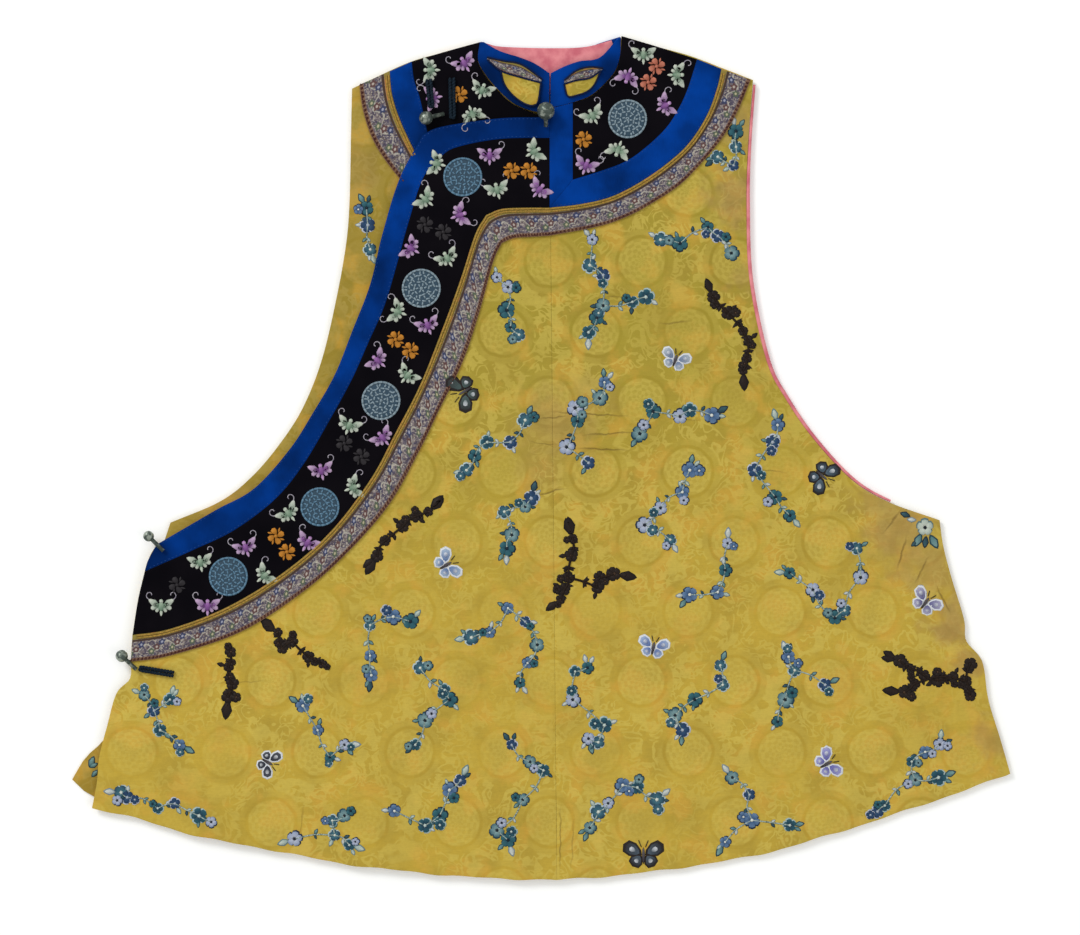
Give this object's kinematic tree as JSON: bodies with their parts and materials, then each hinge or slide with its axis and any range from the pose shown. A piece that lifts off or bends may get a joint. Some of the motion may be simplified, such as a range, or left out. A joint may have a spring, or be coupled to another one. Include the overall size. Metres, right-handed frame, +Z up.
{
  "type": "sleeveless side-fastening waistcoat, laid flat",
  "caption": "Flared sleeveless silk waistcoat laid flat, with a low standing collar, a curved overlap to one side, satin and ribbon borders, and ball buttons.",
  "frame": {"origin": "centre of the bounding box in plan, on the surface that the garment lies on", "axes": "+X to the right as it is seen from above, along the widest line of the hem; +Y towards the neck; +Z up, away from the surface"},
  "size_m": [0.7698, 0.6918, 0.0236],
  "materials": {
    "damask": "yellow self-patterned silk damask with embroidered sprays",
    "black_satin": "black silk satin with embroidered motifs",
    "blue_satin": "plain deep blue silk satin",
    "ribbon": "grey-lilac woven ribbon with dark edges and yellow edging",
    "pink_lining": "pink plain-woven silk lining",
    "cord": "dark blue silk cord",
    "ball": "dull grey-green gilt ball button"
  },
  "bodies": {
    "root": {"back_panel": "damask", "under_front": "damask", "front_overlap_width": "damask", "front_plain_width": "damask", "satin_overlap": "black_satin", "satin_yoke": "black_satin", "satin_shoulder": "black_satin", "band_overlap": "blue_satin", "band_centre": "blue_satin", "band_yoke": "blue_satin", "band_shoulder": "blue_satin", "ribbon_overlap": "ribbon", "ribbon_shoulder": "ribbon", "collar_left": "blue_satin", "collar_right": "blue_satin", "collar_back": "blue_satin", "neck_lining": "pink_lining", "inset_left_ribbon": "ribbon", "inset_left_silk": "damask", "inset_right_ribbon": "ribbon", "inset_right_silk": "damask", "armhole_piping": "pink_lining", "button_neck": "ball", "button_shoulder": "ball", "button_underarm": "ball", "button_side": "ball", "cord_shoulder_loop": "cord", "cord_shoulder_tail": "cord", "cord_side": "cord"}
  },
  "joints": []
}
